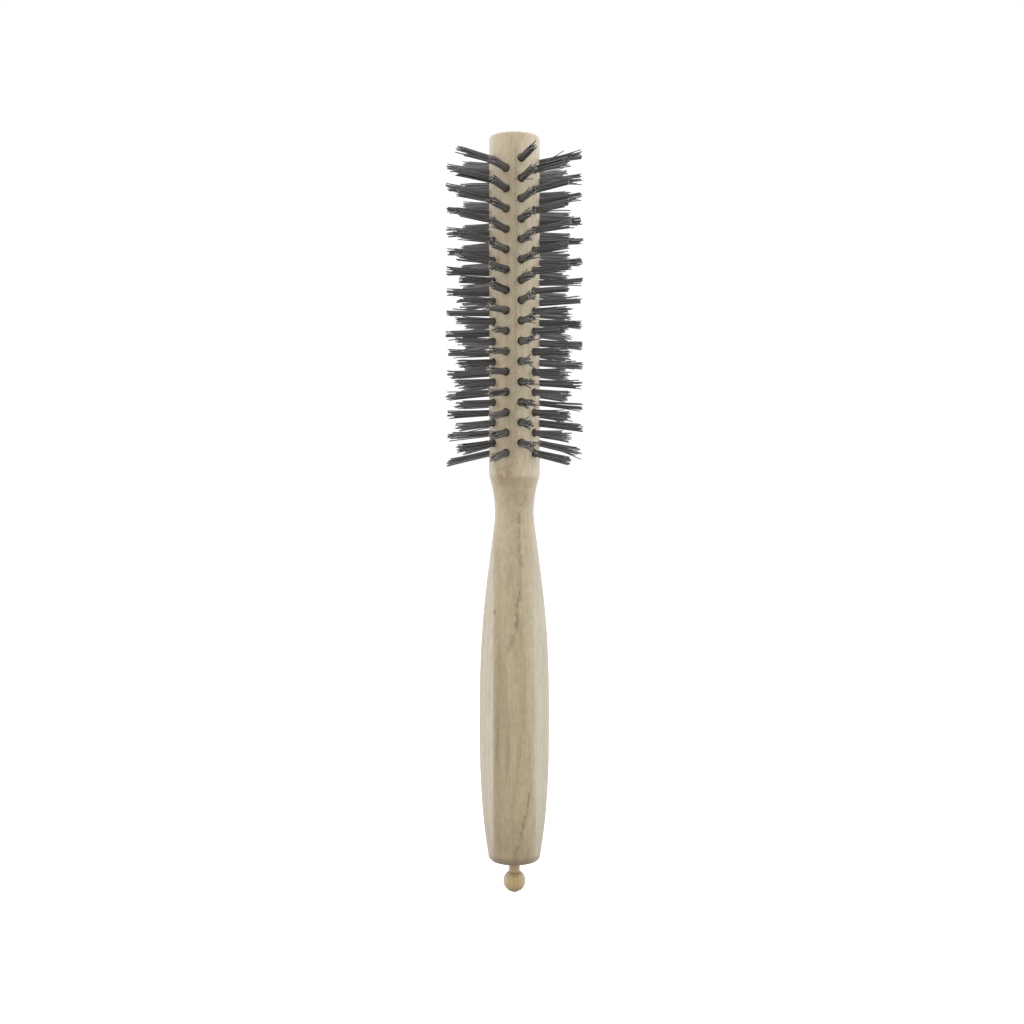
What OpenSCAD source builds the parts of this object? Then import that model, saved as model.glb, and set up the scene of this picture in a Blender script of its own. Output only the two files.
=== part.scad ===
// Round barrel brush for blow drying: a turned wooden body whose grip has flats, bristle
// tufts set by wire anchors in blind holes, and a sectioning pick that pushes into the grip.
// Millimetres. The brush stands upright on the tip of the pick's knob, with its axis on +Z.

/* [Barrel] */
// Diameter of the barrel that carries the bristles
barrel_d = 15.7; // [15:0.1:18]
// Length of the barrel, from the crease at the neck to its flat end
barrel_l = 105; // [104:0.1:125]
// Radius of the turned edge around the barrel's end
barrel_rim = 0.9; // [0.3:0.1:1.5]

/* [Grip] */
// Height of the grip's flat end above the tip of the knob
grip_end_z = 10.4; // [9.5:0.1:13]
// Radius of the turned edge around the grip's end
grip_rim = 1.5; // [0.8:0.1:1.8]
// Diameter of the grip just above its turned edge
grip_end_d = 16.2; // [15.6:0.1:17]
// Diameter of the grip at its belly, over the corners
belly_d = 21.7; // [21:0.1:24]
// Height of the belly
belly_z = 54; // [50:1:58]
// Diameter of the grip at its shoulder, over the corners
shoulder_d = 19.4; // [19:0.1:20]
// Height of the shoulder
shoulder_z = 86; // [82:1:88]
// Diameter of the neck at its narrowest
neck_d = 12.1; // [11.5:0.1:13]
// Height of the narrowest part of the neck
neck_z = 118.4; // [117:0.1:120]
// Height of the crease where the neck meets the barrel
crease_z = 129.2; // [128.5:0.1:130]

/* [Flats] */
// Depth that the six flats cut into the belly
flat_depth = 0.95; // [0.6:0.05:1.2]
// Height at which the flats are deepest
flat_belly_z = 57; // [52:1:62]
// Height at which the flats have run out into the neck
flat_top_z = 104; // [100:1:106]
// Turn of the flats about the axis, in degrees
flat_turn = 0; // [-30:1:30]

/* [Bristles] */
// Columns of tufts around the barrel, every other one half a pitch higher
columns = 10; // [8:2:10]
// Tufts in a column
rows = 15; // [10:1:15]
// Spacing of the tufts along a column
tuft_pitch = 6.2; // [5.8:0.1:6.6]
// Height of the lowest tuft above the crease
first_tuft_h = 7; // [6:0.1:9]
// Angle of the first column to the right of the front, in degrees
first_column_a = 16; // [0:1:35]
// Diameter over the tips of the tufts
tips_d = 43; // [36:0.1:48]
// Diameter of a tuft's hole
hole_d = 2.4; // [2.3:0.1:2.5]
// Depth of a tuft's hole
hole_depth = 5; // [4.5:0.1:5]
// Diameter of a tuft where it leaves its hole
tuft_root_d = 2.2; // [1.8:0.1:2.2]
// Diameter of a tuft at its tips
tuft_tip_d = 3.9; // [2.4:0.1:4]

/* [Anchors] */
// Width of a flat wire anchor across its hole
anchor_w = 2; // [1.6:0.1:2]
// Thickness of the anchor's wire
anchor_t = 0.45; // [0.3:0.05:0.5]
// Height of the anchor in its hole
anchor_h = 1.2; // [1:0.1:1.6]

/* [Sectioning pick] */
// Diameter of the knob
knob_d = 6.9; // [6:0.1:8]
// Angle of the knob's tip from the flat, in degrees
knob_tip_a = 24; // [10:1:30]
// Diameter of the pick's shank
shank_d = 3.4; // [3:0.1:4]
// Radius of the fillet between knob and shank
knob_fillet = 0.6; // [0.4:0.1:1.2]
// Length of the shank's straight part inside the grip
shank_straight = 16; // [10:1:25]
// Length of the whole pick inside the grip
pick_depth = 58; // [45:1:62]
// Diameter of the pick's rounded point
point_d = 1.4; // [1:0.1:2]
// Radial clearance between the shank and its bore
pick_clearance = 0.05; // [0.02:0.01:0.1]
// Air left in the bore beyond the pick's point
bore_spare = 2; // [1:0.5:4]

/* [Hidden] */
$fn = 48;
barrel_r = barrel_d / 2;
grip_end_r = grip_end_d / 2;
belly_r = belly_d / 2;
shoulder_r = shoulder_d / 2;
neck_r = neck_d / 2;
barrel_end_z = crease_z + barrel_l;
grip_rim_z = grip_end_z + grip_rim;
// Slopes of the turned profile, in millimetres of radius for each millimetre of height
end_slope = 0.17;
shoulder_slope = -0.088;
throat_slope = -0.13;
// The flats are straighter than the turned profile, so they run out of it at both ends
flat_end_slope = 0.12;
flat_top_slope = -0.1;
flat_end_spare = 0.03;
// The neck is one arc, from the crease down to where it leaves for the shoulder
neck_rise = crease_z - neck_z;
neck_arc_r = (pow(neck_rise, 2) + pow(barrel_r - neck_r, 2)) / (2 * (barrel_r - neck_r));
crease_a = asin(neck_rise / neck_arc_r);
throat_a = atan(throat_slope);
throat_z = neck_z + neck_arc_r * sin(throat_a);
throat_r = neck_r + neck_arc_r * (1 - cos(throat_a));
column_a = 360 / columns;
anchor_top = barrel_r - hole_depth + anchor_h;
tuft_flare = (tuft_tip_d - tuft_root_d) / (tips_d / 2 - barrel_r) / 2;
tuft_base_r = tuft_root_d / 2 - tuft_flare * (barrel_r - anchor_top);
knob_r = knob_d / 2;
knob_z = knob_r / cos(knob_tip_a);
shank_r = shank_d / 2;
point_r = point_d / 2;
bore_r = shank_r + pick_clearance;
past = 1;

// Cubic curve from [z, r, slope] to [z, r, slope]
function curve_r(a, b, z) =
    let (
        l = b[0] - a[0],
        t = (z - a[0]) / l,
        u = 1 - t
    )
    a[1] * u * u * (1 + 2 * t)
    + b[1] * t * t * (1 + 2 * u)
    + l * t * u * (a[2] * u - b[2] * t);

grip_end = [grip_rim_z, grip_end_r, end_slope];
belly = [belly_z, belly_r, 0];
shoulder = [shoulder_z, shoulder_r, shoulder_slope];
throat = [throat_z, throat_r, throat_slope];

// Turned radius of the grip at a height, from its end to the throat of the neck
function grip_r(z) =
    z < grip_rim_z ? grip_end_r + end_slope * (z - grip_rim_z)
    : z < belly_z ? curve_r(grip_end, belly, z)
    : z < shoulder_z ? curve_r(belly, shoulder, z)
    : curve_r(shoulder, throat, z);

// Evenly spaced heights from one to another, without the last
function steps(from, to, count) = [for (i = [0 : count - 1]) from + (to - from) * i / count];

grip_heights = concat(
    steps(grip_rim_z, belly_z, 7),
    steps(belly_z, shoulder_z, 5),
    steps(shoulder_z, throat_z, 10)
);
// The flats bend halfway between the turned profile's heights
flat_heights = concat(
    [grip_end_z - past],
    [for (i = [1 : len(grip_heights) - 1]) (grip_heights[i - 1] + grip_heights[i]) / 2],
    [throat_z]
);

flat_end = [grip_rim_z, grip_end_r + flat_end_spare, flat_end_slope];
flat_belly = [flat_belly_z, belly_r - flat_depth, 0];
flat_top = [flat_top_z, grip_r(flat_top_z), flat_top_slope];

// Distance of a flat from the axis at a height
function flat_d(z) =
    z < grip_rim_z ? flat_end[1] + flat_end_slope * (z - grip_rim_z)
    : z < flat_belly_z ? curve_r(flat_end, flat_belly, z)
    : z < flat_top_z ? curve_r(flat_belly, flat_top, z)
    : flat_top[1] + flat_top_slope * (z - flat_top_z);

// Which columns sit half a pitch higher, and the height of a tuft
function is_raised(column) = column % 2 == 0;
function tuft_z(column, row) =
    crease_z + first_tuft_h + tuft_pitch * (row + (is_raised(column) ? 0.5 : 0));
function two_digits(n) = n < 10 ? str("0", n) : str(n);
function tuft_node(column) = str("tuft_column_", two_digits(column + 1));
function anchor_node(column) = str("anchor_column_", two_digits(column + 1));

// Points of an arc about [r, z], angles from the +r direction
function arc(centre, radius, from, to, count) =
    [for (i = [0 : count])
        let (a = from + (to - from) * i / count)
        centre + radius * [cos(a), sin(a)]];

// The whole turned outline: grip, neck and barrel
module turned_blank() {
    rotate_extrude($fn = 96)
        polygon(concat(
            [[0, grip_end_z]],
            arc([grip_end_r - grip_rim, grip_rim_z], grip_rim, -90, 0, 4),
            [for (z = grip_heights) if (z > grip_rim_z) [grip_r(z), z]],
            arc([neck_r + neck_arc_r, neck_z], neck_arc_r, 180 - throat_a, 180 - crease_a, 10),
            arc([barrel_r - barrel_rim, barrel_end_z - barrel_rim], barrel_rim, 0, 90, 3),
            [[0, barrel_end_z]]
        ));
}

// What one flat removes, on the front side of the axis
module flat_cutter() {
    outer = -belly_r - 4;
    rotate([90, 0, 90])
        linear_extrude(belly_d, center = true)
            polygon(concat(
                [for (z = flat_heights) [-flat_d(z), z]],
                [[outer, throat_z], [outer, grip_end_z - past]]
            ));
}

// Places its children at every tuft of a column, with +Z pointing out of the barrel
module at_tufts(column) {
    rotate([0, 0, first_column_a + column_a * column])
        for (row = [0 : rows - 1])
            translate([0, 0, tuft_z(column, row)])
                rotate([90, 0, 0])
                    children();
}

module wood_body() {
    color([0.78, 0.70, 0.57])
        difference() {
            turned_blank();
            for (side = [0 : 5])
                rotate([0, 0, flat_turn + 60 * side])
                    flat_cutter();
            for (column = [0 : columns - 1])
                at_tufts(column)
                    translate([0, 0, barrel_r - hole_depth])
                        cylinder(h = hole_depth + past, d = hole_d, $fn = 24);
            translate([0, 0, grip_end_z - past])
                cylinder(h = pick_depth + bore_spare + past, r = bore_r);
        }
}

module sectioning_pick() {
    // The fillet's centre, level with where it meets the shank
    fillet_r = shank_r + knob_fillet;
    fillet_z = knob_z + sqrt(pow(knob_r + knob_fillet, 2) - pow(fillet_r, 2));
    knob_top_a = atan2(fillet_z - knob_z, fillet_r);
    taper_z = grip_end_z + shank_straight;
    point_z = grip_end_z + pick_depth - point_r;
    color([0.74, 0.60, 0.40])
        rotate_extrude($fn = 64)
            polygon(concat(
                [[0, 0]],
                arc([0, knob_z], knob_r, knob_tip_a - 90, knob_top_a, 14),
                arc([fillet_r, fillet_z], knob_fillet, 180 + knob_top_a, 180, 4),
                [[shank_r, taper_z]],
                arc([0, point_z], point_r, 0, 90, 4)
            ));
}

// Loose bundles of bristle, each widening from its hole towards its tips
module tuft_column(column) {
    color([0.22, 0.21, 0.21])
        at_tufts(column)
            translate([0, 0, anchor_top])
                cylinder(
                    h = tips_d / 2 - anchor_top,
                    r1 = tuft_base_r,
                    r2 = tuft_tip_d / 2,
                    $fn = 24
                );
}

// Flat wire anchors at the bottoms of the holes, lying along the barrel
module anchor_column(column) {
    color([0.75, 0.76, 0.78])
        at_tufts(column)
            translate([-anchor_t / 2, -anchor_w / 2, anchor_top - anchor_h])
                cube([anchor_t, anchor_w, anchor_h]);
}

wood_body();
sectioning_pick();
for (column = [0 : columns - 1]) {
    tuft_column(column);
    anchor_column(column);
}
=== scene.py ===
"""Looks of the round barrel brush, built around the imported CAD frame.

Lengths are in millimetres up to the moment a mesh is made, and in metres from there on. The brush
stands on +Z with its front towards -Y. An angle about the axis runs from the front towards +X, in
degrees.
"""

import math

import bpy
import numpy as np
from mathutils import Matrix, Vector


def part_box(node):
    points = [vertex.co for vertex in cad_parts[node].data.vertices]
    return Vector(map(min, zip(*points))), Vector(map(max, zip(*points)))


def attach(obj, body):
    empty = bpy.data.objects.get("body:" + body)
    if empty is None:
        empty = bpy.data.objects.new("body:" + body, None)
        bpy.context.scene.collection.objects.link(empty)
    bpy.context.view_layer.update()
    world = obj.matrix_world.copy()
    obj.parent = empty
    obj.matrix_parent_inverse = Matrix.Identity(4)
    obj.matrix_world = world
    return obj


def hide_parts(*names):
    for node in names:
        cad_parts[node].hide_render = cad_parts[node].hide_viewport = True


MM = 0.001

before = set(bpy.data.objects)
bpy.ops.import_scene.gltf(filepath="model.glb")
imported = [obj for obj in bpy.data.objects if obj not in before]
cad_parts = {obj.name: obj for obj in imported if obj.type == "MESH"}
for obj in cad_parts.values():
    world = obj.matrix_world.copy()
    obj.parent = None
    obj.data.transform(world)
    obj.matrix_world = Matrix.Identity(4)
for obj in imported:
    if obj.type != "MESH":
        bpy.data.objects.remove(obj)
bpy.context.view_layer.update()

# ---------------------------------------------------------------- the turned body, as in the CAD
BARREL_R, BARREL_RIM = 7.85, 0.9
GRIP_END_Z, GRIP_RIM = 10.4, 1.5
GRIP_END_R, BELLY_R, SHOULDER_R, NECK_R = 8.1, 10.85, 9.7, 6.05
BELLY_Z, SHOULDER_Z, NECK_Z, CREASE_Z = 54.0, 86.0, 118.4, 129.2
BARREL_END_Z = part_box("wood_body")[1].z / MM
BARREL_RIM_Z = BARREL_END_Z - BARREL_RIM
GRIP_RIM_Z = GRIP_END_Z + GRIP_RIM
END_SLOPE, SHOULDER_SLOPE, THROAT_SLOPE = 0.17, -0.088, -0.13
NECK_RISE = CREASE_Z - NECK_Z
NECK_ARC_R = (NECK_RISE**2 + (BARREL_R - NECK_R) ** 2) / (2 * (BARREL_R - NECK_R))
THROAT_A = math.atan(THROAT_SLOPE)
THROAT_Z = NECK_Z + NECK_ARC_R * math.sin(THROAT_A)
THROAT_R = NECK_R + NECK_ARC_R * (1 - math.cos(THROAT_A))
# The crease is a little rounded, and above NECK_END_Z the barrel is plain
CREASE_SOFTNESS, NECK_END_Z = 0.04, CREASE_Z + 5

# Six shallow flats, which run out of the turned profile at both ends
FLATS, FLAT_TURN, HALF_TURN = 6, 60, 30
FLAT_DEPTH, FLAT_BELLY_Z, FLAT_TOP_Z = 0.95, 57.0, 104.0
FLAT_END_SLOPE, FLAT_TOP_SLOPE, FLAT_TOP_BEND, FLAT_END_SPARE = 0.12, -0.1, 0.02, 0.03
ROUND_FROM_Z = CREASE_Z - 12
# How soft the edges of the flats are, and the (angle, spread) of those that differ. The front
# flat's own edges are worn, so is the right flat's near edge from the belly up, and the left
# flat's near edge is crisp.
CRISP, WORN, FRONT_WORN = 0.05, 0.12, 0.22
FRONT_EDGES, RIGHT_EDGE, LEFT_EDGE, RIGHT_WORN_Z = (25, 6), (36, 6), (-37, 5), (44, 60)

# The edge of the bore's mouth is rounded: its middle lies at this share of the chamfer
BORE_R, BORE_TOP_Z, BORE_CHAMFER, MOUTH_ROUNDING = 1.75, 70.4, 0.25, 0.3

# Tufts
COLUMNS, ROWS, PITCH = 10, 15, 6.2
FIRST_TUFT_Z = CREASE_Z + 7.0
FIRST_COLUMN_A = 16.0
HOLE_R, HOLE_DEPTH, ANCHOR_TOP = 1.2, 5.0, 4.05
TIP_R = 21.5

# ---------------------------------------------------------------- mesh density
SEGMENTS = 120
TILE_STEPS = SEGMENTS // COLUMNS
TILE_HALF_A = 180 / COLUMNS
# Vertices crowd within EDGE_BAND of a flat's edge, and even out over EVENING_Z
EDGE_BAND, LEAST_EDGE_A, EVENING_Z = 3.0, 8.0, (98, 120)
# Rings of the end face as shares of the way from the bore's edge to the rim
END_FACE_SHARES = (0.3, 0.6, 0.85)
# Rings of the grip and the neck as (low, high, count), and those about the crease
RING_RUNS = ((GRIP_RIM_Z, 90, 46), (90, THROAT_Z, 24), (THROAT_Z, CREASE_Z - 0.6, 15))
CREASE_RINGS = (-0.6, -0.35, -0.2, -0.08, 0, 0.08, 0.2, 0.4, 0.8, 1.6, 2.8)
RIM_STEPS, PLAIN_RINGS = 8, 6
BARREL_FACE_RADII = (6.4, 4.8, 3.2, 1.6)
# Loops from a tile's border into its hole: the share of the way from the border to a circle, the
# circle's radius, and how far it lies under the barrel's surface, or None for the hole's bottom
HOLE_LOOPS = (
    (0.42, HOLE_R + 0.25, 0), (0.78, HOLE_R + 0.25, 0), (1, HOLE_R + 0.25, 0),
    (1, HOLE_R + 0.11, 0.01), (1, HOLE_R + 0.03, 0.06), (1, HOLE_R, 0.18), (1, HOLE_R, None),
)
# A flat bounds the section where its cosine is above LEAST_COSINE, and FAR stands for no bound
LEAST_COSINE, FAR, NEWTON_STEPS = 0.3, 1e3, 12


# ---------------------------------------------------------------- the body's outline
def smooth_step(low, high, value):
    """0 below low, 1 above high, and a smooth curve between them."""
    t = min(max((value - low) / (high - low), 0.0), 1.0)
    return t * t * (3 - 2 * t)


def bell(value, middle, spread):
    """1 at the middle, and next to nothing two or three spreads away."""
    return np.exp(-(((value - middle) / spread) ** 2))


def curve_radius(z, a, b):
    """Cubic curve between two stations (z, r, slope)."""
    length = b[0] - a[0]
    t = (z - a[0]) / length
    u = 1 - t
    return (
        a[1] * u * u * (1 + 2 * t)
        + b[1] * t * t * (1 + 2 * u)
        + length * t * u * (a[2] * u - b[2] * t)
    )


STATIONS = (
    (GRIP_RIM_Z, GRIP_END_R, END_SLOPE),
    (BELLY_Z, BELLY_R, 0.0),
    (SHOULDER_Z, SHOULDER_R, SHOULDER_SLOPE),
    (THROAT_Z, THROAT_R, THROAT_SLOPE),
)


def grip_radius(z):
    """Turned radius of the grip, from its end to the throat of the neck."""
    if z < GRIP_RIM_Z:
        return GRIP_END_R + END_SLOPE * (z - GRIP_RIM_Z)
    for a, b in zip(STATIONS, STATIONS[1:]):
        if z < b[0] or b is STATIONS[-1]:
            return curve_radius(z, a, b)


def soft_min(a, b, softness):
    """The smaller of two lengths, with the corner between them rounded."""
    low = np.minimum(a, b)
    return low - softness * np.log(np.exp((low - a) / softness) + np.exp((low - b) / softness))


def rim_reach(rim, rise):
    """How far a rounded rim reaches out of its circle's middle, at a height above or below it."""
    return math.sqrt(max(rim**2 - rise**2, 0))


def turned_radius(z):
    """Radius of the whole turned outline, rims and neck included."""
    if z < GRIP_RIM_Z:
        return GRIP_END_R - GRIP_RIM + rim_reach(GRIP_RIM, GRIP_RIM_Z - z)
    if z < THROAT_Z:
        return grip_radius(z)
    if z < NECK_END_Z:
        neck = NECK_R + NECK_ARC_R - math.sqrt(NECK_ARC_R**2 - (z - NECK_Z) ** 2)
        return float(soft_min(neck, BARREL_R, CREASE_SOFTNESS))
    if z > BARREL_RIM_Z:
        return BARREL_R - BARREL_RIM + rim_reach(BARREL_RIM, z - BARREL_END_Z + BARREL_RIM)
    return BARREL_R


FLAT_STATIONS = (
    (GRIP_RIM_Z, GRIP_END_R + FLAT_END_SPARE, FLAT_END_SLOPE),
    (FLAT_BELLY_Z, BELLY_R - FLAT_DEPTH, 0.0),
    (FLAT_TOP_Z, grip_radius(FLAT_TOP_Z), FLAT_TOP_SLOPE),
)


def flat_distance(z):
    """Distance of a flat from the axis. Above FLAT_TOP_Z it has left the wood."""
    end, belly, top = FLAT_STATIONS
    if z < end[0]:
        return end[1] + end[2] * (z - end[0])
    if z < belly[0]:
        return curve_radius(z, end, belly)
    if z < top[0]:
        return curve_radius(z, belly, top)
    return top[1] + top[2] * (z - top[0]) + FLAT_TOP_BEND * (z - top[0]) ** 2


def edge_softness(angles, z):
    """How far the edges of the flats are rubbed down, at each angle."""
    turned = (angles + 180) % 360 - 180
    front = bell(np.abs(turned), *FRONT_EDGES)
    right = bell(turned, *RIGHT_EDGE) * smooth_step(*RIGHT_WORN_Z, z)
    left = bell(turned, *LEFT_EDGE)
    soft = WORN + (FRONT_WORN - WORN) * np.clip(front + right, 0, 1)
    return soft + (CRISP - soft) * left


def section_radius(angles, z):
    """Radius of the body at each angle: the turned outline cut by the six flats.

    The corners between them are rounded by a soft maximum, solved by Newton's method.
    """
    turned = turned_radius(z)
    if z > ROUND_FROM_Z:
        return np.full(len(angles), turned)
    softness = edge_softness(angles, z)
    cosines = [np.ones(len(angles))]
    limits = [turned]
    for flat in range(FLATS):
        cosine = np.cos(np.radians(angles - FLAT_TURN * flat))
        cosines.append(np.where(cosine > LEAST_COSINE, cosine, 0.0))
        limits.append(flat_distance(z))
    cosines = np.array(cosines)
    limits = np.array(limits)[:, None]
    facing = cosines > 0
    radius = np.min(np.where(facing, limits / np.maximum(cosines, LEAST_COSINE), FAR), axis=0)
    for _ in range(NEWTON_STEPS):
        excess = np.where(facing, (radius * cosines - limits) / softness, -FAR)
        top = excess.max(0)
        weights = np.exp(excess - top)
        total = weights.sum(0)
        value = softness * (top + np.log(total))
        radius = radius - value / ((weights * cosines).sum(0) / total)
    return radius


def ring_angles(z):
    """Angles of a ring's vertices: crowded at the edges of the flats, even on the round part."""
    even = FIRST_COLUMN_A - TILE_HALF_A + np.arange(SEGMENTS) * 360 / SEGMENTS
    blend = smooth_step(*EVENING_Z, z)
    if blend == 1:
        return even
    edge = math.degrees(math.acos(min(flat_distance(z) / grip_radius(z), 1)))
    edge = max(edge, LEAST_EDGE_A)
    half_sector = np.concatenate([
        np.linspace(0, edge - EDGE_BAND, 5)[:-1],
        np.linspace(edge - EDGE_BAND, edge + EDGE_BAND, 5)[:-1],
        np.linspace(edge + EDGE_BAND, HALF_TURN, 3)[:-1],
    ])
    sector = np.concatenate([half_sector, [HALF_TURN], FLAT_TURN - half_sector[:0:-1]])
    followed = np.concatenate([sector + FLAT_TURN * flat for flat in range(FLATS)])
    return followed * (1 - blend) + even * blend


# ---------------------------------------------------------------- building meshes
def around(radius, angles, z):
    """Points at a radius and angles about the axis."""
    a = np.radians(angles)
    radius, z = np.broadcast_to(radius, a.shape), np.broadcast_to(z, a.shape)
    return np.stack([radius * np.sin(a), -radius * np.cos(a), z], axis=-1)


def arc(middle, radius, start, end, count):
    """Points (r, z) along an arc about a middle (r, z), between two angles in radians."""
    return [
        (middle[0] + radius * math.cos(a), middle[1] + radius * math.sin(a))
        for a in np.linspace(start, end, count)
    ]


class Builder:
    """Collects vertices and faces. Rings of vertices run towards +X seen from the front."""

    def __init__(self):
        self.points, self.faces, self.count = [], [], 0

    def add(self, points):
        """Adds vertices and returns their numbers."""
        points = np.atleast_2d(points)
        first = self.count
        self.points.append(points)
        self.count += len(points)
        return np.arange(first, self.count)

    def strip(self, a, b):
        """Quads between two rings of vertices, seen from the side that has b after a."""
        a, b = np.append(a, a[0]), np.append(b, b[0])
        self.faces += np.stack([a[:-1], a[1:], b[1:], b[:-1]], axis=1).tolist()

    def fan(self, ring, centre, flip=False):
        """Closes a ring with triangles to one point."""
        middle = self.add(centre)[0]
        after = np.roll(ring, -1)
        a, b = (after, ring) if flip else (ring, after)
        self.faces += np.stack([a, b, np.full(len(ring), middle)], axis=1).tolist()

    def mesh(self, name):
        """Makes the smooth-shaded mesh, in metres."""
        mesh = bpy.data.meshes.new(name)
        mesh.from_pydata((np.concatenate(self.points) * MM).tolist(), [], self.faces)
        mesh.validate()
        mesh.shade_smooth()
        return mesh


def place(name, mesh, body, slot, material, *nodes):
    """Makes a piece of a mesh, on its body, standing for its CAD nodes. Its slot is not used."""
    piece = bpy.data.objects.new(name, mesh)
    bpy.context.scene.collection.objects.link(piece)
    mesh.materials.append(material)
    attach(piece, body)
    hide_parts(*nodes)
    return piece


def column_angle(column):
    """Angle of a column of tufts about the axis."""
    return FIRST_COLUMN_A + 360 / COLUMNS * column


def column_axes(column):
    """Unit vectors out of the barrel and around it, at a column of tufts."""
    angle = math.radians(column_angle(column))
    outward = np.array([math.sin(angle), -math.cos(angle), 0])
    along = np.array([math.cos(angle), math.sin(angle), 0])
    return outward, along


def is_raised(column):
    """Every second column stands half a pitch higher."""
    return column % 2 == 0


# ---------------------------------------------------------------- the wooden body
def grip_and_neck(build):
    """Bore, end face, grip and neck, up to the first tufts. Returns the highest ring."""
    grid = ring_angles(GRIP_END_Z)
    mouth_r, edge = BORE_R + BORE_CHAMFER, BORE_CHAMFER * MOUTH_ROUNDING
    rows = [
        around(BORE_R, grid, BORE_TOP_Z),
        around(BORE_R, grid, GRIP_END_Z + BORE_CHAMFER),
        around(BORE_R + edge, grid, GRIP_END_Z + edge),
        around(mouth_r, grid, GRIP_END_Z),
    ]
    end_radius = section_radius(grid, GRIP_END_Z)
    for share in END_FACE_SHARES:
        rows.append(around(mouth_r + (end_radius - mouth_r) * share, grid, GRIP_END_Z))
    rim_angles = np.linspace(0, math.pi / 2, RIM_STEPS + 1)[:-1]
    heights = [GRIP_RIM_Z - GRIP_RIM * math.cos(a) for a in rim_angles]
    for low, high, count in RING_RUNS:
        heights += list(np.linspace(low, high, count)[:-1])
    heights += [CREASE_Z + rise for rise in CREASE_RINGS]
    for z in heights:
        angles = ring_angles(z)
        rows.append(around(section_radius(angles, z), angles, z))
    rings = [build.add(row) for row in rows]
    build.fan(rings[0], [0, 0, BORE_TOP_Z], flip=True)
    for below, above in zip(rings, rings[1:]):
        build.strip(below, above)
    return rings[-1]


def barrel_tiles(build, angles):
    """The barrel: one tile round each hole, and plain strips where raised columns leave room.

    Returns the lowest ring, the highest ring and the highest ring's height.
    """
    half = TILE_STEPS // 2
    bottom = FIRST_TUFT_Z - PITCH / 2
    z_step = PITCH / TILE_STEPS
    last = TILE_STEPS * ROWS + half
    grid = -np.ones((SEGMENTS, last + 1), int)

    def vertex(j, k):
        j %= SEGMENTS
        if grid[j, k] < 0:
            grid[j, k] = build.add(around(BARREL_R, angles[j : j + 1], bottom + k * z_step))[0]
        return grid[j, k]

    # A tile's border as offsets across and along the barrel, and the same steps round a circle
    side_angles = np.linspace(TILE_HALF_A, -TILE_HALF_A, TILE_STEPS + 1)
    side = BARREL_R * np.sin(np.radians(side_angles))
    rise = np.linspace(-PITCH / 2, PITCH / 2, TILE_STEPS + 1)
    across = np.concatenate([
        np.full(TILE_STEPS, side[0]), side[:-1], np.full(TILE_STEPS, side[-1]), side[:0:-1],
    ])
    up = np.concatenate([
        rise[:-1], np.full(TILE_STEPS, rise[-1]), rise[:0:-1], np.full(TILE_STEPS, rise[0]),
    ])
    turns = np.radians(-45 + np.arange(4 * TILE_STEPS) * 90 / TILE_STEPS)

    for column in range(COLUMNS):
        outward, along = column_axes(column)
        j0 = column * TILE_STEPS
        raised = is_raised(column)
        for k0 in range(0, half) if raised else range(last - half, last):
            for j in range(j0, j0 + TILE_STEPS):
                build.faces.append(
                    [vertex(j, k0), vertex(j + 1, k0), vertex(j + 1, k0 + 1), vertex(j, k0 + 1)]
                )
        for row in range(ROWS):
            k0 = row * TILE_STEPS + (half if raised else 0)
            middle = bottom + (k0 + half) * z_step
            loop = np.array(
                [vertex(j0 + TILE_STEPS, k0 + i) for i in range(TILE_STEPS)]
                + [vertex(j0 + TILE_STEPS - i, k0 + TILE_STEPS) for i in range(TILE_STEPS)]
                + [vertex(j0, k0 + TILE_STEPS - i) for i in range(TILE_STEPS)]
                + [vertex(j0 + i, k0) for i in range(TILE_STEPS)]
            )
            for share, radius, sink in HOLE_LOOPS:
                x = across * (1 - share) + radius * np.cos(turns) * share
                if sink is None:
                    depth = np.full(len(x), BARREL_R - HOLE_DEPTH)
                else:
                    depth = np.sqrt(BARREL_R**2 - x**2) - sink
                points = outward * depth[:, None] + along * x[:, None]
                points[:, 2] = middle + (up * (1 - share) + radius * np.sin(turns) * share)
                inner = build.add(points)
                build.strip(loop, inner)
                loop = inner
            build.fan(loop, outward * (BARREL_R - HOLE_DEPTH) + [0, 0, middle])

    lowest, highest = (
        np.array([vertex(j, k) for j in range(SEGMENTS)]) for k in (0, last)
    )
    return lowest, highest, bottom + last * z_step


def body_mesh():
    """The whole turned body in one mesh, with the pick's bore and the tufts' holes."""
    build = Builder()
    neck = grip_and_neck(build)
    even = ring_angles(BARREL_END_Z)
    lowest, ring, top = barrel_tiles(build, even)
    build.strip(neck, lowest)

    # Plain rings up to the rim, round it and across the barrel's end
    heights = list(np.linspace(top, BARREL_RIM_Z, PLAIN_RINGS)[1:])
    heights += [
        BARREL_RIM_Z + BARREL_RIM * math.sin(a) for a in np.linspace(0, math.pi / 2, RIM_STEPS)[1:]
    ]
    rows = [around(section_radius(even, z), even, z) for z in heights]
    rows += [around(radius, even, BARREL_END_Z) for radius in BARREL_FACE_RADII]
    for row in rows:
        above = build.add(row)
        build.strip(ring, above)
        ring = above
    build.fan(ring, [0, 0, BARREL_END_Z])
    return build.mesh("wooden_body")


# ---------------------------------------------------------------- bristles
FILAMENT_R, FILAMENT_TIP_R = 0.188, 0.150
FILAMENT_SIDES = 8
FILAMENT_STATIONS = np.array([0, 0.08, 0.3, 0.55, 0.8, 1.0])
# A filament stands straight up to EXIT_R, just inside the mouth of its hole
ROOT_R, EXIT_R = ANCHOR_TOP + 0.05, BARREL_R - 0.35
PACKING_PITCH, PACKING_SPARE, PACKING_JITTER, PACKING_REACH = 0.405, 0.02, 0.025, 5
# The value of the run attribute on a filament's cut end. Along its side it goes from 0 to 1.
CUT_END_RUN = 1.5
SEED = 4200
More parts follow.
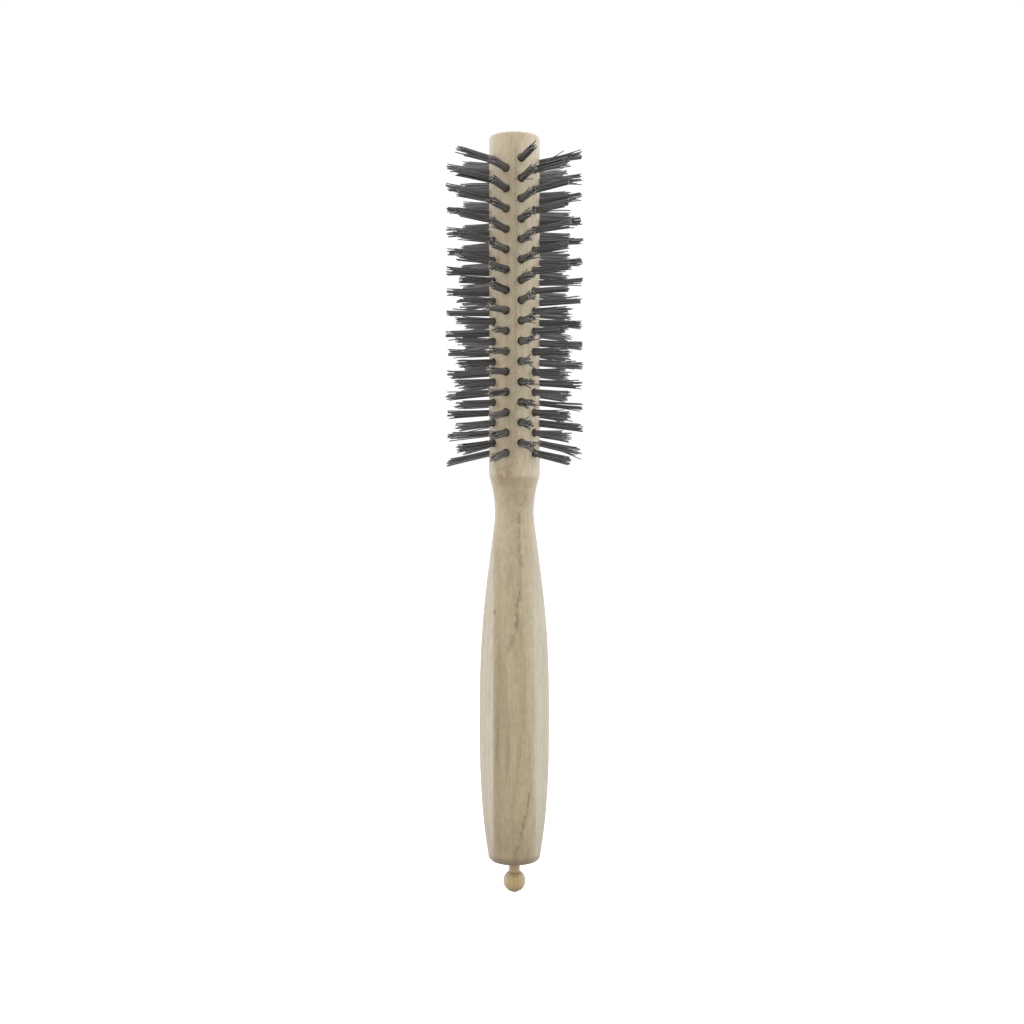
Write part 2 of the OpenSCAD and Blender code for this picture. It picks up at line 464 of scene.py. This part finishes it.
# A tuft's lean in degrees. Near the neck it leans down, more on the front, and the first rows lean
# down further, less on the front.
NECK_LEAN, NECK_LEAN_FRONT, NECK_LEAN_POWER = 4.8, 1.7, 0.6
FIRST_LEAN, FIRST_LEAN_FRONT, FIRST_LEAN_ROWS = 6.0, 4.0, 0.6
# Near the far end it leans up at the sides and a little down on the front, both with a gain
# towards the right, and less about the angle DIP_A
SIDE_LEAN, SIDE_LEAN_RIGHT, FRONT_LEAN, FRONT_LEAN_RIGHT = 9.5, 1.0, -1.4, 2.6
DIP_LEAN, DIP_A, DIP_SPREAD = 5.0, 52, 20
END_LEAN_POWER, END_LEAN_POWER_FRONT = 1.6, 0.6
# How tufts differ: lean and sway in degrees, bend, slant of the cut, spread, looseness, depth of
# the cut and tone
LEAN_SIGMA, SWAY_SIGMA, BEND_SIGMA, SLANT_SIGMA = 1.2, 1.4, 0.0009, 0.5
SPREADS, LOOSENESS, CUT_RANGE, TONE_RANGE = (0.05, 0.35), (0.18, 0.36), 0.55, 0.12
# The first column's tufts are bushier
FIRST_COLUMN_LOOSER = 0.30
# How a tuft's filaments differ: a few stray, most end near the cut, and some are much shorter
STRAY_CHANCE, STRAY_FACTOR, STRAY_OPENING_POWER, OPENING_POWER = 0.05, 2.7, 1.3, 2.2
SHORT_POWER, SHORT_RANGE, STUB_CHANCE, STUB_RANGE, SLANT_SHARE = 1.9, 3.1, 0.12, 2.4, 0.6
MOUTH_SWELL, THICKNESSES, TAPER_POWER, TONE_POWER = 0.05, (0.88, 1.1), 1.5, 1.4


def packed_places(random):
    """Where filaments stand in a hole: a jittered hexagonal packing, as (across, along)."""
    pitch = PACKING_PITCH
    reach = HOLE_R - FILAMENT_R - PACKING_SPARE
    shift = random.uniform(-0.5, 0.5, 2) * pitch
    steps = range(-PACKING_REACH, PACKING_REACH + 1)
    places = [
        (i * pitch + (j % 2) * pitch / 2 + shift[0], j * pitch * math.sqrt(3) / 2 + shift[1])
        for i in steps
        for j in steps
    ]
    places = np.array([p for p in places if math.hypot(*p) < reach])
    turn = random.uniform(0, math.pi)
    c, s = math.cos(turn), math.sin(turn)
    places = places @ np.array([[c, -s], [s, c]])
    return places + random.uniform(-PACKING_JITTER, PACKING_JITTER, places.shape)


def row_lean(row, angle):
    """How far a tuft leans up the barrel, in degrees: down at the neck, up at the far end."""
    h = row / (ROWS - 1)
    right = math.sin(math.radians(angle))
    front = max(math.cos(math.radians(angle)), 0) ** 3
    if h < 0.5:
        steady = (NECK_LEAN + NECK_LEAN_FRONT * front) * (1 - h / 0.5) ** NECK_LEAN_POWER
        first = (FIRST_LEAN - FIRST_LEAN_FRONT * front) * math.exp(-row / FIRST_LEAN_ROWS)
        return -steady - first
    top = (SIDE_LEAN + SIDE_LEAN_RIGHT * right) * (1 - front)
    top += (FRONT_LEAN + FRONT_LEAN_RIGHT * right) * front
    top -= DIP_LEAN * bell(angle, DIP_A, DIP_SPREAD)
    return top * ((h - 0.5) / 0.5) ** (END_LEAN_POWER + END_LEAN_POWER_FRONT * front)


def tuft_column_mesh(column, random):
    """All tufts of a column: filaments as tapered, slightly bent tubes."""
    outward, along = column_axes(column)
    up = np.array([0, 0, 1.0])
    z0 = FIRST_TUFT_Z + (PITCH / 2 if is_raised(column) else 0)
    looser = FIRST_COLUMN_LOOSER if column == 0 else 0
    build = Builder()
    tones, runs = [], []
    ring = np.arange(FILAMENT_SIDES) * 2 * math.pi / FILAMENT_SIDES
    for row in range(ROWS):
        middle = z0 + PITCH * row
        places = packed_places(random)
        lean = row_lean(row, column_angle(column)) + random.normal(0, LEAN_SIGMA)
        lean = math.tan(math.radians(lean))
        sway = math.tan(math.radians(random.normal(0, SWAY_SIGMA)))
        bend = random.normal(0, BEND_SIGMA, 2)
        spread = random.uniform(*SPREADS)
        loose = random.uniform(*LOOSENESS) + looser
        slant = random.normal(0, SLANT_SIGMA, 2)
        cut = TIP_R - random.uniform(0, CUT_RANGE)
        tuft_tone = random.uniform(-TONE_RANGE, TONE_RANGE)
        for root in places:
            stray = random.random() < STRAY_CHANCE
            away = random.normal(0, loose, 2) * (STRAY_FACTOR if stray else 1)
            short = random.random() ** SHORT_POWER * SHORT_RANGE
            short += (random.random() < STUB_CHANCE) * random.uniform(0, STUB_RANGE)
            tip = cut - short - abs(slant @ root) * SLANT_SHARE
            h = FILAMENT_STATIONS * (tip - EXIT_R)
            opening = h[:, None] / (TIP_R - BARREL_R)
            opening = opening ** (STRAY_OPENING_POWER if stray else OPENING_POWER)
            swell = 1 + MOUTH_SWELL * (1 - np.exp(-h[:, None]))
            offsets = root * swell + h[:, None] * (sway, lean)
            offsets = offsets + (h**2)[:, None] * bend + opening * (root * spread + away)
            radial = np.append(ROOT_R, EXIT_R + h)
            offsets = np.vstack([root, offsets])
            share = np.clip((radial - BARREL_R) / (TIP_R - BARREL_R), 0, 1)
            thick = FILAMENT_R + (FILAMENT_TIP_R - FILAMENT_R) * share**TAPER_POWER
            thick *= random.uniform(*THICKNESSES)
            start = random.uniform(0, math.pi)
            across = offsets[:, :1] + thick[:, None] * np.cos(ring + start)
            rise = offsets[:, 1:] + thick[:, None] * np.sin(ring + start)
            points = (
                radial[:, None, None] * outward
                + across[:, :, None] * along
                + (rise + middle)[:, :, None] * up
            )
            rings = [build.add(p) for p in points]
            for a, b in zip(rings, rings[1:]):
                build.strip(a, b)
            # The cut end has its own vertices, so that it can be lighter than the sides
            cap = build.add(points[-1])
            build.faces.append(rings[0][::-1].tolist())
            build.faces.append(cap.tolist())
            tone = np.clip(random.random() ** TONE_POWER + tuft_tone, 0, 1)
            tones.append(np.full((len(points) + 1) * FILAMENT_SIDES, tone))
            runs.append(np.repeat(np.append(share, CUT_END_RUN), FILAMENT_SIDES))
    mesh = build.mesh(f"bristles_{column + 1:02d}")
    for label, values in (("tone", tones), ("run", runs)):
        attribute = mesh.attributes.new(label, "FLOAT", "POINT")
        attribute.data.foreach_set("value", np.concatenate(values).astype(np.float32))
    return mesh


# ---------------------------------------------------------------- the pick
KNOB_R, KNOB_TIP_A, SHANK_R, KNOB_FILLET = 3.45, 24.0, 1.7, 0.6
TAPER_Z, POINT_R = 26.4, 0.7
PICK_SEGMENTS = 96
BALL_RINGS, FILLET_RINGS, SHANK_RINGS, TAPER_RINGS, POINT_RINGS = 26, 8, 8, 14, 8
# The knob's rounded tip as (r, z), and radii on the cone between it and the ball
KNOB_TIP, KNOB_CONE_RADII = ((0.175, 0.05), (0.35, 0.16)), (0.75, 1.1)


def pick_mesh():
    """Knob, neck and tapered shank, turned about the axis."""
    tip_a = math.radians(KNOB_TIP_A)
    knob_z = KNOB_R / math.cos(tip_a)
    cone_r, cone_z = KNOB_R * math.sin(tip_a), knob_z - KNOB_R * math.cos(tip_a)
    fillet_r = SHANK_R + KNOB_FILLET
    fillet_z = knob_z + math.sqrt((KNOB_R + KNOB_FILLET) ** 2 - fillet_r**2)
    top_a = math.atan2(fillet_z - knob_z, fillet_r)
    point_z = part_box("sectioning_pick")[1].z / MM - POINT_R
    outline = list(KNOB_TIP)
    outline += [(r, r / cone_r * cone_z) for r in KNOB_CONE_RADII]
    outline += arc((0, knob_z), KNOB_R, math.radians(KNOB_TIP_A - 90), top_a, BALL_RINGS)
    outline += arc((fillet_r, fillet_z), KNOB_FILLET, math.pi + top_a, math.pi, FILLET_RINGS)[1:]
    outline += [(SHANK_R, z) for z in np.linspace(fillet_z, TAPER_Z, SHANK_RINGS)[1:]]
    outline += [
        (SHANK_R + (POINT_R - SHANK_R) * t, TAPER_Z + (point_z - TAPER_Z) * t)
        for t in np.linspace(0, 1, TAPER_RINGS)[1:-1]
    ]
    outline += arc((0, point_z), POINT_R, 0, math.pi / 2, POINT_RINGS)[:-1]
    build = Builder()
    angles = np.arange(PICK_SEGMENTS) * 360 / PICK_SEGMENTS
    rings = [build.add(around(r, angles, z)) for r, z in outline]
    for below, above in zip(rings, rings[1:]):
        build.strip(below, above)
    build.fan(rings[0], [0, 0, 0], flip=True)
    build.fan(rings[-1], [0, 0, point_z + POINT_R])
    return build.mesh("sectioning_pick_turned")


# ---------------------------------------------------------------- node trees
WHITE = (1, 1, 1, 1)
# Sockets of a colour Mix node
MIX_FACTOR, MIX_A, MIX_B, MIX_RESULT = 0, 6, 7, 2


class Nodes:
    """Short calls for the nodes of a tree. An input is another node's socket or a plain value."""

    def __init__(self, tree):
        self.tree = tree

    def put(self, socket, value):
        if isinstance(value, bpy.types.NodeSocket):
            self.tree.links.new(value, socket)
        else:
            socket.default_value = value

    def node(self, kind, **inputs):
        """Makes a node and sets its inputs, whose names have _ for a space."""
        made = self.tree.nodes.new(kind)
        for key, value in inputs.items():
            self.put(made.inputs[key.replace("_", " ")], value)
        return made

    def math(self, operation, a, b=0.0, c=0.0):
        made = self.tree.nodes.new("ShaderNodeMath")
        made.operation = operation
        for socket, value in zip(made.inputs, (a, b, c)):
            self.put(socket, value)
        return made.outputs[0]

    def product(self, *values):
        result = values[0]
        for value in values[1:]:
            result = self.math("MULTIPLY", result, value)
        return result

    def scaled(self, value, factor, offset):
        """value * factor + offset"""
        return self.math("MULTIPLY_ADD", value, factor, offset)

    def parts(self, vector):
        """x, y and z of a vector."""
        return self.node("ShaderNodeSeparateXYZ", Vector=vector).outputs


class Shader(Nodes):
    """A material and its node tree. Noises are laid out in millimetres on the piece."""

    def __init__(self, name):
        self.material = bpy.data.materials.new(name)
        self.material.use_nodes = True
        super().__init__(self.material.node_tree)
        self.surface = self.tree.nodes["Principled BSDF"]

    def set(self, **inputs):
        """Sets inputs of the surface, in the same way."""
        for key, value in inputs.items():
            self.put(self.surface.inputs[key.replace("_", " ")], value)

    def stretched(self, where, scale, shift=(0, 0, 0)):
        """A place times a scale, and then moved."""
        made = self.tree.nodes.new("ShaderNodeMapping")
        self.put(made.inputs["Vector"], where)
        made.inputs["Scale"].default_value = scale
        made.inputs["Location"].default_value = shift
        return made.outputs[0]

    def millimetres(self):
        """The place on the piece, which the noises use too."""
        metres = self.node("ShaderNodeTexCoord").outputs["Object"]
        self.mm = self.stretched(metres, (1 / MM, 1 / MM, 1 / MM))
        return self.mm

    def noise(self, across, along, shift=(0, 0, 0), detail=2.0, roughness=0.5, distortion=0.0):
        """Noise with so many waves per millimetre across and along the axis."""
        made = self.node(
            "ShaderNodeTexNoise", Vector=self.stretched(self.mm, (across, across, along), shift),
            Scale=1.0, Detail=detail, Roughness=roughness, Distortion=distortion,
        )
        return made.outputs[0]

    def attribute(self, name):
        """A number that the mesh carries on its vertices."""
        made = self.node("ShaderNodeAttribute")
        made.attribute_name = name
        return made.outputs["Fac"]

    def step(self, value, low, high, to_low=0.0, to_high=1.0):
        """Smooth step of a value between two others."""
        made = self.tree.nodes.new("ShaderNodeMapRange")
        made.interpolation_type = "SMOOTHSTEP"
        for socket, number in zip(made.inputs, (value, low, high, to_low, to_high)):
            self.put(socket, number)
        return made.outputs[0]

    def curve(self, value, points):
        """A smooth curve through (0..1, 0..1) points."""
        made = self.tree.nodes.new("ShaderNodeFloatCurve")
        self.put(made.inputs["Value"], value)
        line = made.mapping.curves[0]
        for _ in range(len(points) - 2):
            line.points.new(0.5, 0.5)
        for point, location in zip(line.points, points):
            point.location = location
        made.mapping.update()
        return made.outputs[0]

    def gap(self, a, b):
        """Distance between two values."""
        return self.math("ABSOLUTE", self.math("SUBTRACT", a, b))

    def varied(self, value, noise, amount):
        """A value that follows a noise by so much."""
        return self.scaled(self.math("SUBTRACT", noise, 0.5), amount, value)

    def line(self, x, z, start, end, half_width, fade=2.0):
        """Share of a thin streak on the front, between two (x, z) points, start the lower one."""
        made = self.tree.nodes.new("ShaderNodeMapRange")
        for socket, number in zip(made.inputs, (z, start[1], end[1], start[0], end[0])):
            self.put(socket, number)
        across = self.step(self.gap(x, made.outputs[0]), half_width, half_width * 0.25)
        lower = self.step(z, start[1] - fade, start[1] + fade)
        upper = self.step(z, end[1] + fade, end[1] - fade)
        return self.product(across, self.product(lower, upper))

    def mix(self, share, a, b, blend="MIX"):
        made = self.tree.nodes.new("ShaderNodeMix")
        made.data_type, made.blend_type, made.clamp_factor = "RGBA", blend, True
        for socket, value in ((MIX_FACTOR, share), (MIX_A, a), (MIX_B, b)):
            if isinstance(value, tuple):
                value = (*value, 1.0)
            self.put(made.inputs[socket], value)
        return made.outputs[MIX_RESULT]

    def tint(self, share, colour, factor):
        """Multiplies a colour by another, to the extent of the share."""
        return self.mix(share, colour, factor, "MULTIPLY")

    def tints(self, colour, *pairs):
        """Tints a colour by each (share, factor) in turn."""
        for share, factor in pairs:
            colour = self.tint(share, colour, factor)
        return colour

    def shaded(self, colour, tone):
        """Multiplies a colour by a number."""
        grey = self.node("ShaderNodeCombineColor", Red=tone, Green=tone, Blue=tone)
        return self.tint(1.0, colour, grey.outputs[0])


# ---------------------------------------------------------------- the body's wood
def growth_rings(shader, x, y, z, wave):
    """Nearly flat layers that face the front, bent by slow noise.

    Returns how far through its ring a place is, and its share of late wood.
    """
    slow = shader.noise(0.055, 0.012)
    layer = shader.scaled(x, 0.30, shader.product(y, 0.95))
    layer = shader.scaled(z, 0.012, layer)
    layer = shader.scaled(slow, 7.0, layer)
    layer = shader.scaled(wave, 1.1, layer)
    ring = shader.math("FRACT", shader.math("DIVIDE", layer, 1.9))
    return ring, shader.product(shader.step(ring, 0.25, 0.92), shader.step(ring, 1.0, 0.94))


def broad_colour(shader, x, z, wave, late, front):
    """The colours of whole areas: pale towards the barrel, olive-brown low on the grip, with
    painted shade and a painted reflection on some of them.
    """
    normal = shader.node("ShaderNodeTexCoord").outputs["Normal"]
    _, _, facing = shader.parts(normal)
    end_grain = shader.step(shader.math("ABSOLUTE", facing), 0.80, 0.97)
    below_neck = shader.step(z, 122, 104)
    on_barrel = shader.product(shader.step(z, 129, 140), shader.step(z, 231, 222))

    colour = shader.mix(
        shader.step(z, 120, 131), (0.405, 0.335, 0.207), (0.494, 0.412, 0.275)
    )
    # Darker towards the grip's end, and most on its rim, where the darkening is painted shade on
    # the downward-facing edge
    colour = shader.tints(
        colour,
        (shader.step(z, 34, 12), (0.82, 0.79, 0.74)),
        (shader.step(z, 13.3, 12.0), (0.67, 0.66, 0.66)),
    )
    # Paler to the right of a wandering edge, which is back at the middle above the crease
    edge = shader.curve(shader.math("DIVIDE", z, 130.0), [
        (0.08, 0.80), (0.35, 0.68), (0.47, 0.54), (0.62, 0.46), (0.70, 0.40), (0.90, 0.40),
        (0.95, 0.52), (0.99, 0.75),
    ])
    edge = shader.scaled(edge, 10.0, -2.0)
    to_middle = shader.math("SUBTRACT", 0.2, edge)
    edge = shader.scaled(shader.step(z, 129.0, 129.4), to_middle, edge)
    past_edge = shader.math("SUBTRACT", shader.scaled(wave, 1.2, x), edge)
    pale = shader.mix(
        shader.step(past_edge, -0.2, 1.8), (0.97, 0.965, 0.945), (1.05, 1.06, 1.08)
    )
    colour = shader.tint(1.0, colour, pale)
    colour = shader.tints(
        colour,
        # A darker band under the crease, painted shade where the neck turns downward
        (
            shader.product(shader.step(z, 117, 127.5), shader.step(z, 128.9, 128.3)),
            (0.87, 0.84, 0.80),
        ),
        # Greyer side flats, a painted reflection of the pale surroundings at a grazing angle
        (shader.product(shader.step(x, 5.9, 6.6), below_neck), (0.965, 1.0, 1.16)),
        (shader.product(shader.step(x, -6.0, -6.5), below_neck), (1.06, 1.07, 1.28)),
        # A darker right side of the upper grip and neck
        (
            shader.product(
                shader.step(z, 84, 100), shader.step(z, 131, 128), shader.step(x, 1.5, 4.5)
            ),
            (0.94, 0.91, 0.93),
        ),
        # The barrel is darker on its left and at both edges, as painted shade
        (shader.product(shader.step(x, 0.0, -5.5), on_barrel), (0.82, 0.79, 0.76)),
        (
            shader.product(shader.step(shader.math("ABSOLUTE", x), 4.6, 6.4), on_barrel),
            (0.90, 0.88, 0.88),
        ),
        # Reddish along the left edge of the front flat
        (
            shader.product(
                shader.step(x, -3.2, -5.2), shader.step(x, -6.8, -6.2), front, below_neck
            ),
            (0.84, 0.79, 0.74),
        ),
    )
    # Late wood shows most on the end grain, and more low on the grip than above
    strength = shader.math(
        "MAXIMUM", shader.step(z, 70, 92, 0.36, 0.20), shader.product(end_grain, 0.85)
    )
    return shader.tints(
        colour,
        (shader.product(late, strength), (0.74, 0.70, 0.65)),
        (end_grain, (0.93, 0.90, 0.86)),
    )


# Straight pore lines on the front: lower end (x, z), upper end (x, z), half width and strength
PORE_LINES = (
    ((0.1, 14), (2.0, 19.2), 0.72, 1.0), ((2.0, 19.2), (3.8, 27.6), 0.68, 1.0),
    ((3.8, 27.6), (4.9, 35), 0.5, 0.85), ((6.2, 19), (6.6, 29), 0.45, 0.6),
    ((-5.4, 43), (-4.8, 54), 0.65, 0.75), ((-4.6, 40), (-5.2, 47), 0.5, 0.6),
    ((0.4, 133), (0.5, 231), 0.7, 0.5), ((-2.4, 150), (-2.2, 205), 0.5, 0.3),
    ((-3.0, 20), (-1.5, 58), 0.5, 0.25), ((6.2, 50), (6.4, 62), 0.4, 0.4),
)


def pore_lines(shader, x, z, wave):
    """Share of the single dark lines: a curved one on the upper grip, and straight ones."""
    blob = shader.noise(0.55, 0.30, (2, 6, 1), 3.0, 0.7)
    grain = shader.noise(1.8, 0.9, (8, 1, 3), 2.0, 0.6)
    # The curved line swells and thins like a string of beads
    path = shader.curve(shader.scaled(z, 0.02, -1.6), [
        (0.0, 0.17), (0.10, 0.30), (0.20, 0.34), (0.36, 0.43), (0.51, 0.38), (0.72, 0.39),
        (0.83, 0.54), (0.96, 0.80),
    ])
    path = shader.scaled(path, 9.0, -2.0)
    near = shader.scaled(grain, 0.30, shader.scaled(wave, 0.8, x))
    off = shader.gap(shader.math("ADD", near, -0.55), path)
    width = shader.scaled(shader.step(blob, 0.42, 0.62), 1.10, 0.30)
    drawn = shader.product(
        shader.step(shader.math("DIVIDE", off, width), 1.25, 0.0),
        shader.step(z, 66, 84), shader.step(z, 130, 122), shader.step(blob, 0.34, 0.56, 0.25, 0.95),
        shader.step(grain, 0.38, 0.54, 0.25, 1.0),
    )
    # The straight ones wander and are broken
    wander = shader.math("ADD", shader.scaled(wave, 0.8, x), shader.scaled(grain, 0.9, -0.85))
    broken = shader.step(grain, 0.43, 0.57)
    for start, end, half_width, strength in PORE_LINES:
        streak = shader.line(wander, z, start, end, half_width)
        drawn = shader.math("MAXIMUM", drawn, shader.product(streak, broken, strength))
    return drawn


def wood_spots(shader, colour, x, z, front):
    """Flecks on the barrel, a reddish streak, the dark patch at the barrel's foot and a knot."""
    flecks = shader.step(shader.noise(0.75, 0.34, (9, 2, 7), 3.0, 0.65), 0.53, 0.72)
    streak = shader.line(x, z, (-5.2, 42), (-5.2, 62), 1.2, 6.0)
    patch = shader.line(x, z, (-3.4, 127.5), (-3.4, 133), 4.2, 2.5)
    speckle = shader.step(shader.noise(1.1, 0.8, (4, 4, 4), 3.0, 0.7), 0.40, 0.62)
    knot_x = shader.math("DIVIDE", shader.math("ADD", x, 6.1), 0.65)
    knot_z = shader.math("DIVIDE", shader.math("ADD", z, -87.8), 1.2)
    square = shader.math("ADD", shader.product(knot_x, knot_x), shader.product(knot_z, knot_z))
    knot = shader.step(shader.math("SQRT", square), 1.0, 0.3)
    return shader.tints(
        colour,
        (shader.product(flecks, shader.step(z, 128, 134), 0.8), (0.80, 0.73, 0.64)),
        (shader.product(streak, front, 0.6), (0.93, 0.88, 0.80)),
        (shader.product(patch, shader.scaled(speckle, 0.80, 0.50), front), (0.68, 0.60, 0.50)),
        (shader.product(knot, front), (0.56, 0.45, 0.36)),
    )


def wood_material():
    """Pale lacquered wood. Its single features are on the front, at places in millimetres."""
    shader = Shader("ash_wood")
    x, y, z = shader.parts(shader.millimetres())
    front = shader.step(y, -0.5, -3.0)
    wave = shader.noise(0.25, 0.03, (7, 3, 1))
    ring, late = growth_rings(shader, x, y, z, wave)
    drawn = shader.product(pore_lines(shader, x, z, wave), front)
    colour = broad_colour(shader, x, z, wave, late, front)
    colour = shader.tint(drawn, colour, (0.56, 0.49, 0.40))
    colour = wood_spots(shader, colour, x, z, front)

    # Fibres and pores, drawn out along the axis
    fibre = shader.noise(2.2, 0.10, detail=4.0, roughness=0.62)
    streak = shader.noise(0.75, 0.028, (3, 9, 4), 3.0, 0.55)
    mottle = shader.noise(0.42, 0.20, (5, 5, 5), 3.0, 0.6, 1.2)
    speck = shader.noise(1.15, 0.5, (6, 8, 2), 2.0, 0.6)
    pore = shader.noise(5.5, 0.28, (1, 2, 8), 1.0)
    pores = shader.product(shader.step(pore, 0.60, 0.72), shader.step(ring, 0.55, 0.05))
    tone = 1.0
    for noise, amount in ((fibre, 0.40), (streak, 0.32), (mottle, 0.40), (speck, 0.34)):
        tone = shader.varied(tone, noise, amount)
    colour = shader.shaded(colour, tone)
    colour = shader.tint(shader.product(pores, 0.35), colour, (0.52, 0.46, 0.40))

    relief = shader.scaled(fibre, 0.5, shader.product(pores, -1.0))
    relief = shader.math("SUBTRACT", relief, drawn)
    bump = shader.node("ShaderNodeBump", Height=relief, Strength=0.5, Distance=0.00003)
    shader.set(
        Base_Color=colour, Roughness=shader.scaled(streak, 0.16, 0.34), Normal=bump.outputs[0],
        Coat_Weight=0.6, Coat_Roughness=0.32, Sheen_Weight=0.10, Sheen_Roughness=0.5,
    )
    return shader.material


# ---------------------------------------------------------------- the other materials
def bristle_material():
    """Dark filaments of two tones, browner towards the tip and lighter on the cut end."""
    shader = Shader("bristle")
    tone, run = shader.attribute("tone"), shader.attribute("run")
    colour = shader.mix(tone, (0.080, 0.078, 0.079), (0.190, 0.185, 0.182))
    tip = shader.product(shader.step(run, 0.72, 1.0), shader.step(tone, 0.1, 0.9), 0.75)
    colour = shader.mix(tip, colour, (0.19, 0.145, 0.115))
    end = shader.product(shader.step(run, 1.2, 1.3), shader.step(tone, 0.0, 0.35, 0.35, 1.0))
    colour = shader.mix(end, colour, (0.36, 0.335, 0.31))
    shader.set(Base_Color=colour, Roughness=0.42)
    return shader.material


def wire_material():
    """Drawn wire, with fine lines along the brush's axis."""
    shader = Shader("anchor_wire")
    shader.millimetres()
    lines = shader.noise(9, 0.6)
    colour = shader.mix(lines, (0.42, 0.42, 0.44), (0.66, 0.66, 0.68))
    shader.set(Base_Color=colour, Metallic=1.0, Roughness=shader.scaled(lines, 0.2, 0.25))
    return shader.material


def pick_material():
    """Warmer wood, with faint marks of the turning across its fibres, and painted shade under the
    knob.
    """
    shader = Shader("pick_wood")
    x, y, z = shader.parts(shader.millimetres())
    slow = shader.noise(0.2, 0.08)
    layer = shader.scaled(x, 0.8, shader.product(y, 0.6))
    layer = shader.scaled(slow, 3.0, layer)
    ring = shader.math("FRACT", shader.math("DIVIDE", layer, 1.3))
    late = shader.product(shader.step(ring, 0.2, 0.9), shader.step(ring, 1.0, 0.92))
    fibre = shader.noise(3.2, 0.16, detail=4.0, roughness=0.62)
    turning = shader.noise(0.05, 5.0)
    mottle = shader.noise(0.7, 0.45, (3, 1, 6), 3.0, 0.6, 0.8)
    colour = shader.mix(
        shader.step(mottle, 0.35, 0.65), (0.395, 0.305, 0.180), (0.425, 0.300, 0.140)
    )
    # Darker late wood, and a darker tip, which is painted shade on the knob's underside
    colour = shader.tints(
        colour,
        (shader.product(late, 0.45), (0.78, 0.70, 0.58)),
        (shader.step(z, 3.6, 0.6), (0.80, 0.82, 0.81)),
    )
    colour = shader.shaded(colour, shader.varied(1.0, fibre, 0.7))
    relief = shader.math("ADD", fibre, turning)
    bump = shader.node("ShaderNodeBump", Height=relief, Strength=0.5, Distance=0.00003)
    shader.set(
        Base_Color=colour, Roughness=0.4, Normal=bump.outputs[0],
        Coat_Weight=0.3, Coat_Roughness=0.25,
    )
    return shader.material


# ---------------------------------------------------------------- the pieces
place("wooden_body", body_mesh(), "brush", "body_wood", wood_material(), "wood_body")
place("turned_pick", pick_mesh(), "pick", "pick_wood", pick_material(), "sectioning_pick")
bristle = bristle_material()
wire = wire_material()
for column in range(COLUMNS):
    label = f"{column + 1:02d}"
    random = np.random.default_rng(SEED + column)
    mesh = tuft_column_mesh(column, random)
    place(f"bristles_{label}", mesh, "brush", "bristle", bristle, f"tuft_column_{label}")
    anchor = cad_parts[f"anchor_column_{label}"]
    anchor.data.materials.clear()
    anchor.data.materials.append(wire)

# ---------------------------------------------------------------- studio, in metres
# The floor lies low enough for the pick to slide out above it
FLOOR_Z, FLOOR_R, FLOOR_SIDES = -0.085, 6, 96
FLOOR_GREY, FLOOR_GLOW = (0.8, 0.8, 0.8, 1), 0.6
# The world's light: what comes from all round, what the two sides add, and the factor of both,
# level with the brush and what going up adds to it. The camera sees at least BACKDROP.
ROUND_LIGHT, SIDE_LIGHT, LEVEL_FACTOR, UPWARD_FACTOR = 0.98, 1.10, 0.85, 0.45
BACKDROP = 1.05
# The camera is level and looks along +Y
CAMERA_PLACE, CAMERA_TILT = (-0.00074, -0.403, 0.1335), 90
LENS, SENSOR_WIDTH, SHIFT_Y = 45.7, 36.0, -0.049
CLIP_START, CLIP_END = 0.01, 20

scene = bpy.context.scene
scene.view_settings.view_transform = "Standard"


def studio_floor():
    """A pale disc that the camera sees, and that throws no light on the brush."""
    bpy.ops.mesh.primitive_circle_add(
        vertices=FLOOR_SIDES, radius=FLOOR_R, fill_type="NGON", location=(0, 0, FLOOR_Z)
    )
    floor = bpy.context.object
    floor.name = "floor"
    shader = Shader("pale_floor")
    shader.set(
        Base_Color=FLOOR_GREY, Roughness=0.9, Emission_Color=WHITE, Emission_Strength=FLOOR_GLOW
    )
    floor.data.materials.append(shader.material)
    floor.visible_diffuse = False
    floor.visible_glossy = False


def studio_world():
    """White all round for the camera. As light it is brightest at the two sides and dim below."""
    world = bpy.data.worlds.new("studio")
    world.use_nodes = True
    scene.world = world
    world.node_tree.nodes.clear()
    nodes = Nodes(world.node_tree)
    direction = nodes.node("ShaderNodeTexCoord").outputs["Generated"]
    x, _, z = nodes.parts(direction)
    sideways = nodes.math("POWER", nodes.math("ABSOLUTE", x), 2.0)
    strength = nodes.product(
        nodes.scaled(sideways, SIDE_LIGHT, ROUND_LIGHT),
        nodes.scaled(z, UPWARD_FACTOR, LEVEL_FACTOR),
    )
    seen = nodes.node("ShaderNodeLightPath").outputs["Is Camera Ray"]
    strength = nodes.math("MAXIMUM", strength, nodes.product(seen, BACKDROP))
    background = nodes.node("ShaderNodeBackground", Color=WHITE, Strength=strength)
    nodes.node("ShaderNodeOutputWorld", Surface=background.outputs[0])


def studio_camera():
    """The camera at the photograph's viewing angle."""
    data = bpy.data.cameras.new("camera")
    data.lens, data.sensor_width, data.shift_y = LENS, SENSOR_WIDTH, SHIFT_Y
    data.clip_start, data.clip_end = CLIP_START, CLIP_END
    camera = bpy.data.objects.new("camera", data)
    camera.location = CAMERA_PLACE
    camera.rotation_euler = (math.radians(CAMERA_TILT), 0, 0)
    scene.collection.objects.link(camera)
    scene.camera = camera


studio_floor()
studio_world()
studio_camera()
